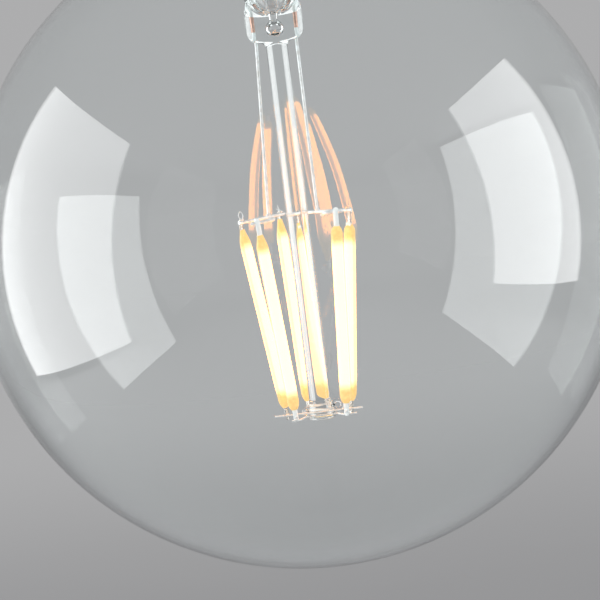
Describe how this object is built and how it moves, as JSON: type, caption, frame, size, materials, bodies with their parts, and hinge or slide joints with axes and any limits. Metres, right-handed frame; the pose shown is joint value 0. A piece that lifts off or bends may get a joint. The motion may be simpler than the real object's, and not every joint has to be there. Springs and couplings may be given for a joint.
{
  "type": "led filament globe bulb",
  "caption": "Clear glass globe lamp on a screw cap, with a crown of phosphor coated light strips hooked on wires round a glass post, its pressed stem and a driver in the cap.",
  "frame": {"origin": "centre of the flat tip of the centre contact", "axes": "+Z along the lamp's axis, up out of the cap towards the lampholder; +X to the right and +Y away from the viewer as pictured"},
  "size_m": [0.125, 0.125, 0.178],
  "materials": {
    "globe_glass": "clear blown glass, polished",
    "stem_glass": "clear drawn glass with fused edges",
    "seal_copper": "copper coated seal wire, pink where it is fused in glass",
    "wire_nickel": "bright drawn nickel plated wire",
    "sleeve_fibre": "varnished glass fibre sleeve",
    "phosphor_coat": "phosphor filled silicone, lit",
    "strip_ceramic": "white ceramic strip",
    "tab_steel": "pressed plated steel, satin",
    "cap_nickel": "rolled sheet with bright nickel plate",
    "cap_black_glass": "black cap glass",
    "cement": "baked capping cement",
    "solder": "dull tin solder",
    "board": "green solder mask on glass fibre board",
    "chip_black": "moulded black epoxy",
    "capacitor_can": "shrunk dark sleeve on an aluminium can",
    "fuse_ceramic": "enamelled ceramic body",
    "chip_brown": "brown ceramic chips with tinned ends",
    "wire_red": "red insulated wire",
    "wire_blue": "blue insulated wire"
  },
  "bodies": {
    "root": {"globe": "globe_glass", "stem_flare": "stem_glass", "stem_press": "stem_glass", "exhaust_tube": "stem_glass", "support_tube": "stem_glass", "glass_button": "stem_glass", "seal_wire_left": "seal_copper", "seal_wire_right": "seal_copper", "inner_lead_left": "wire_nickel", "inner_lead_right": "wire_nickel", "outer_lead_left": "wire_nickel", "outer_lead_right": "wire_nickel", "sleeve_left": "sleeve_fibre", "sleeve_right": "sleeve_fibre", "bus_wire_left": "wire_nickel", "bus_wire_right": "wire_nickel", "front_arm_left": "wire_nickel", "front_arm_right": "wire_nickel", "filament_coat_1": "phosphor_coat", "filament_coat_2": "phosphor_coat", "filament_coat_3": "phosphor_coat", "filament_coat_4": "phosphor_coat", "filament_coat_5": "phosphor_coat", "filament_coat_6": "phosphor_coat", "filament_strip_1": "strip_ceramic", "filament_strip_2": "strip_ceramic", "filament_strip_3": "strip_ceramic", "filament_strip_4": "strip_ceramic", "filament_strip_5": "strip_ceramic", "filament_strip_6": "strip_ceramic", "filament_tabs_1": "tab_steel", "filament_tabs_2": "tab_steel", "filament_tabs_3": "tab_steel", "filament_tabs_4": "tab_steel", "filament_tabs_5": "tab_steel", "filament_tabs_6": "tab_steel", "series_wire_1": "wire_nickel", "series_wire_2": "wire_nickel", "series_wire_3": "wire_nickel", "cap_shell": "cap_nickel", "cap_insulator": "cap_black_glass", "centre_contact": "cap_nickel", "cap_cement": "cement", "side_solder": "solder", "driver_board": "board", "bridge_rectifier": "chip_black", "smoothing_capacitor": "capacitor_can", "driver_chip": "chip_black", "fuse_resistor": "fuse_ceramic", "chip_parts": "chip_brown", "live_wire": "wire_red", "neutral_wire": "wire_blue"}
  },
  "joints": []
}
